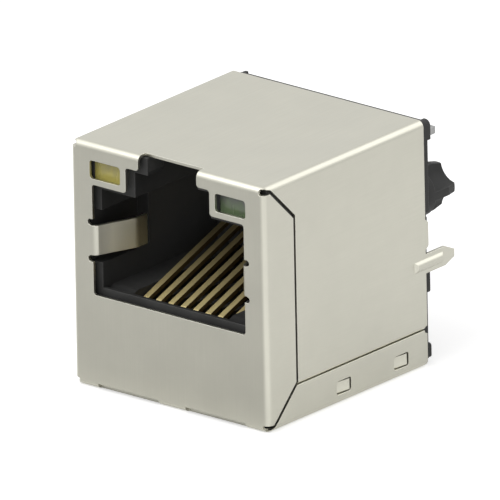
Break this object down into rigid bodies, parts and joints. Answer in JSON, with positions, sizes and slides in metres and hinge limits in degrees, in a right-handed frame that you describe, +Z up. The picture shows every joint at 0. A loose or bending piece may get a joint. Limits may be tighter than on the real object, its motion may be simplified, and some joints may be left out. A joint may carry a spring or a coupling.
{
  "type": "rj45 board jack",
  "caption": "Shielded top-entry modular jack for a circuit board, with sprung gold contacts, ground fingers and two indicator lamps.",
  "frame": {"origin": "midway between the two board pegs, on the plane where the jack seats on its board", "axes": "+Y out of the board side along the pegs and pins, so the plug port faces -Y; +Z up, from the contacts to the latch notch; +X across the port. It rests on the flat underside of its shield"},
  "size_m": [0.0164, 0.0198, 0.0165],
  "materials": {
    "shield": "satin nickel plate",
    "housing": "matte black",
    "carrier": "matte black",
    "contact": "gold plate",
    "yellow_lens": "tinted, clear",
    "green_lens": "tinted, clear",
    "lead": "tin plate"
  },
  "bodies": {
    "root": {"shield": "shield", "housing": "housing", "contact_carrier": "carrier", "contact_1": "contact", "contact_2": "contact", "contact_3": "contact", "contact_4": "contact", "contact_5": "contact", "contact_6": "contact", "contact_7": "contact", "contact_8": "contact", "left_led_lens": "yellow_lens", "left_led_outer_lead": "lead", "left_led_inner_lead": "lead", "right_led_lens": "green_lens", "right_led_outer_lead": "lead", "right_led_inner_lead": "lead"}
  },
  "joints": []
}
